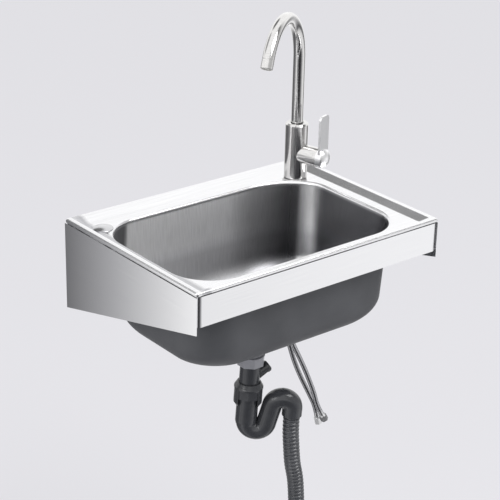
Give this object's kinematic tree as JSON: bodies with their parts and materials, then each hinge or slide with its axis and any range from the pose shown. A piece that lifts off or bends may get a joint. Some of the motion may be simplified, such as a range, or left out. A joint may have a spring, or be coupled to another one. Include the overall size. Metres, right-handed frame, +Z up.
{
  "type": "wall-hung service sink",
  "caption": "Wall-hung stainless single-bowl sink on a folded bracket, with gooseneck side-lever mixer, basket drain, S-trap, corrugated drain hose and braided supply hoses.",
  "frame": {"origin": "centre of the wall bolt pattern, on the wall's surface", "axes": "+Z up, +Y into the wall, +X to the right along the wall"},
  "size_m": [0.6259, 0.43, 1.2634],
  "materials": {
    "stainless": "satin",
    "bracket_steel": "satin",
    "tap_steel": "fine brushed",
    "fixing_steel": "bright",
    "coat": "matt sprayed",
    "trap_plastic": "semi-gloss",
    "cup_plastic": "matt",
    "nut_plastic": "matt",
    "hose_plastic": "semi-matt",
    "braid": "woven",
    "seal": "matt",
    "cartridge_plastic": "matt"
  },
  "bodies": {
    "sink": {"basin": "stainless", "bowl_coat": "coat", "left_side_plate": "bracket_steel", "right_side_plate": "bracket_steel", "front_apron": "bracket_steel", "rear_rail": "bracket_steel", "rim_clips": "fixing_steel", "clip_screws": "fixing_steel", "tap_hole_cover": "stainless", "cover_stud": "fixing_steel", "cover_washer": "fixing_steel", "cover_wing_nut": "fixing_steel", "base_gasket": "seal", "tap_body": "tap_steel", "cartridge": "cartridge_plastic", "cartridge_nut": "fixing_steel", "bonnet": "tap_steel", "mounting_shank": "fixing_steel", "rubber_washer": "seal", "steel_washer": "fixing_steel", "mounting_nut": "fixing_steel", "hot_tail": "fixing_steel", "hot_hose": "braid", "hot_ferrule": "fixing_steel", "hot_hose_nut": "fixing_steel", "cold_tail": "fixing_steel", "cold_hose": "braid", "cold_ferrule": "fixing_steel", "cold_hose_nut": "fixing_steel", "strainer_seat": "stainless", "clamp_screw": "fixing_steel", "floor_gasket": "seal", "drain_cup": "cup_plastic", "lock_washer": "nut_plastic", "lock_nut": "nut_plastic", "neck_seal": "seal", "tailpiece": "trap_plastic", "branch_cap": "nut_plastic", "slip_seal": "seal", "slip_nut": "trap_plastic", "trap_bend": "trap_plastic", "drain_hose": "hose_plastic", "hose_cuff": "seal"},
    "spout": {"swivel_ring": "seal", "spout_stem": "fixing_steel", "stem_o_rings": "seal", "spout_tube": "tap_steel", "aerator_housing": "tap_steel", "aerator_insert": "cartridge_plastic"},
    "lever_carrier": {"cartridge_rotor": "cartridge_plastic"},
    "lever": {"lever": "tap_steel", "lever_pin": "fixing_steel"},
    "basket": {"strainer_basket": "stainless", "basket_knob": "cup_plastic"}
  },
  "joints": [
    {"name": "spout_swivel", "type": "hinge", "parent": "sink", "child": "spout", "pos_m": [0.231, -0.0705, 0.2], "axis": [0, 0, 1], "range_deg": [-45, 160]},
    {"name": "lever_temperature", "type": "hinge", "parent": "sink", "child": "lever_carrier", "pos_m": [0.24489, -0.11225, 0.146], "axis": [0.3156, -0.9489, 0], "range_deg": [-45, 45]},
    {"name": "lever_lift", "type": "hinge", "parent": "lever_carrier", "child": "lever", "pos_m": [0.24489, -0.11225, 0.146], "axis": [0.9489, 0.3156, 0], "range_deg": [0, 20]},
    {"name": "basket_lift", "type": "slide", "parent": "sink", "child": "basket", "axis": [0, 0, 1], "range_m": [0, 0.08]}
  ]
}
